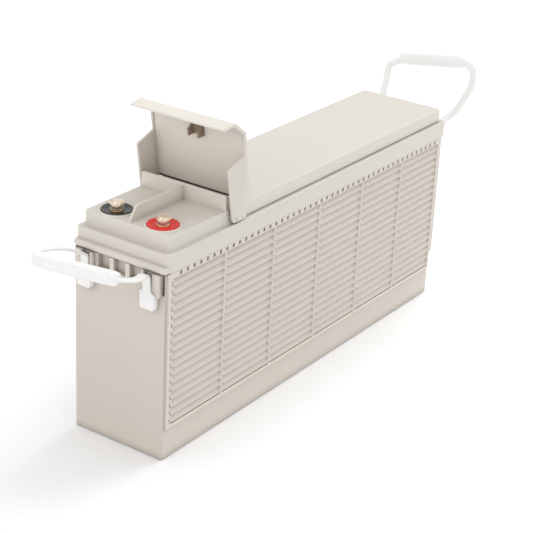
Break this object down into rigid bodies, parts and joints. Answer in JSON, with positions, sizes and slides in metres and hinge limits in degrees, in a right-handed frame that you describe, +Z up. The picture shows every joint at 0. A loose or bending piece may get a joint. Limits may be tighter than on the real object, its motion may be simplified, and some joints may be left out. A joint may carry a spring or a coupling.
{
  "type": "front-terminal lead-acid rack battery",
  "caption": "Slim valve-regulated rack battery with louvred long sides, a flip-up hood over two front terminals and a carrying handle at each end.",
  "frame": {"origin": "middle of the underside of the base, on the surface that the battery stands on", "axes": "+Z up, +Y along the length away from the terminals, +X across the width to the side of the positive terminal"},
  "size_m": [0.1169, 0.6382, 0.309],
  "materials": {
    "case_abs": "fine moulded grain, satin",
    "lid_abs": "fine moulded grain, satin",
    "hood_abs": "fine moulded grain, satin",
    "pin_nylon": "satin",
    "strap_polypropylene": "satin moulded",
    "grip_polypropylene": "fine dimpled grip",
    "red_collar": "gloss",
    "black_collar": "gloss",
    "brass": "machined",
    "tinned_copper": "tinned, slightly tarnished",
    "spring_steel": "plated",
    "rubber": "matt",
    "glass_mat": "felted fibre",
    "positive_paste": "dry paste",
    "negative_paste": "dry paste",
    "lead": "cast, dull"
  },
  "bodies": {
    "root": {"container": "case_abs", "front_left_anchor": "strap_polypropylene", "front_right_anchor": "strap_polypropylene", "hinge_pin_left": "pin_nylon", "hinge_pin_right": "pin_nylon", "intercell_connector_1": "lead", "intercell_connector_2": "lead", "intercell_connector_3": "lead", "intercell_connector_4": "lead", "intercell_connector_5": "lead", "lid": "lid_abs", "negative_collar": "black_collar", "negative_flat_washer": "tinned_copper", "negative_plates_1": "negative_paste", "negative_plates_2": "negative_paste", "negative_plates_3": "negative_paste", "negative_plates_4": "negative_paste", "negative_plates_5": "negative_paste", "negative_plates_6": "negative_paste", "negative_spring_washer": "spring_steel", "negative_terminal_insert": "brass", "negative_terminal_pole": "lead", "negative_terminal_seal": "rubber", "positive_collar": "red_collar", "positive_flat_washer": "tinned_copper", "positive_plates_1": "positive_paste", "positive_plates_2": "positive_paste", "positive_plates_3": "positive_paste", "positive_plates_4": "positive_paste", "positive_plates_5": "positive_paste", "positive_plates_6": "positive_paste", "positive_spring_washer": "spring_steel", "positive_terminal_insert": "brass", "positive_terminal_pole": "lead", "positive_terminal_seal": "rubber", "rear_left_anchor": "strap_polypropylene", "rear_right_anchor": "strap_polypropylene", "return_busbar": "lead", "separator_1": "glass_mat", "separator_2": "glass_mat", "separator_3": "glass_mat", "separator_4": "glass_mat", "separator_5": "glass_mat", "separator_6": "glass_mat", "top_cover": "lid_abs", "vent_valve_1": "rubber", "vent_valve_2": "rubber", "vent_valve_3": "rubber", "vent_valve_4": "rubber", "vent_valve_5": "rubber", "vent_valve_6": "rubber"},
    "hood": {"terminal_hood": "hood_abs", "hood_latch": "hood_abs"},
    "front_handle": {"front_handle_strap": "strap_polypropylene", "front_handle_grip": "grip_polypropylene"},
    "rear_handle": {"rear_handle_strap": "strap_polypropylene", "rear_handle_grip": "grip_polypropylene"},
    "positive_bolt": {"positive_bolt": "tinned_copper"},
    "negative_bolt": {"negative_bolt": "tinned_copper"}
  },
  "joints": [
    {"name": "hood_hinge", "type": "hinge", "parent": "root", "child": "hood", "pos_m": [0, -0.1452, 0.215], "axis": [1, 0, 0], "range_deg": [0, 81]},
    {"name": "front_handle_swing", "type": "hinge", "parent": "root", "child": "front_handle", "pos_m": [0, -0.2534, 0.1886], "axis": [1, 0, 0], "range_deg": [-70, 88]},
    {"name": "rear_handle_swing", "type": "hinge", "parent": "root", "child": "rear_handle", "pos_m": [0, 0.2594, 0.1886], "axis": [1, 0, 0], "range_deg": [-88, 28]},
    {"name": "positive_bolt_turn", "type": "hinge", "parent": "root", "child": "positive_bolt", "pos_m": [0.027, -0.2165, 0.2278], "axis": [0, 0, 1], "continuous": true},
    {"name": "negative_bolt_turn", "type": "hinge", "parent": "root", "child": "negative_bolt", "pos_m": [-0.027, -0.2165, 0.2278], "axis": [0, 0, 1], "continuous": true}
  ]
}
